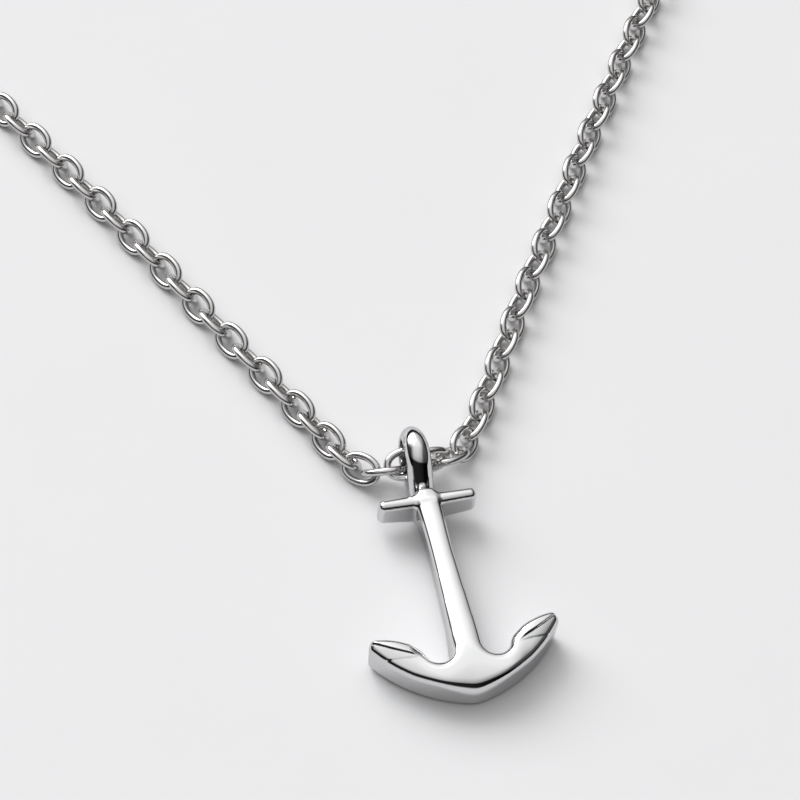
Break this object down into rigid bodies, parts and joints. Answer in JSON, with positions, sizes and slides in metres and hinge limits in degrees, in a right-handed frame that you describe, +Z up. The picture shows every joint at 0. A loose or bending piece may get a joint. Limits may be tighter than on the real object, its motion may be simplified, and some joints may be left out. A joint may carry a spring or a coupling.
{
  "type": "anchor pendant necklace",
  "caption": "Polished anchor pendant with a ring bail on a whole loop of oval cable chain, lying flat with its chain running away from the bail in a V.",
  "frame": {"origin": "on the surface that the necklace lies on, under the middle of its box", "axes": "+Z up from the surface, +Y along the necklace from the pendant to the clasp"},
  "size_m": [0.1226, 0.1978, 0.0058],
  "materials": {
    "anchor": "polished",
    "chain": "polished",
    "clasp": "polished"
  },
  "bodies": {
    "root": {"anchor": "anchor", "chain": "chain", "clasp": "clasp"}
  },
  "joints": []
}
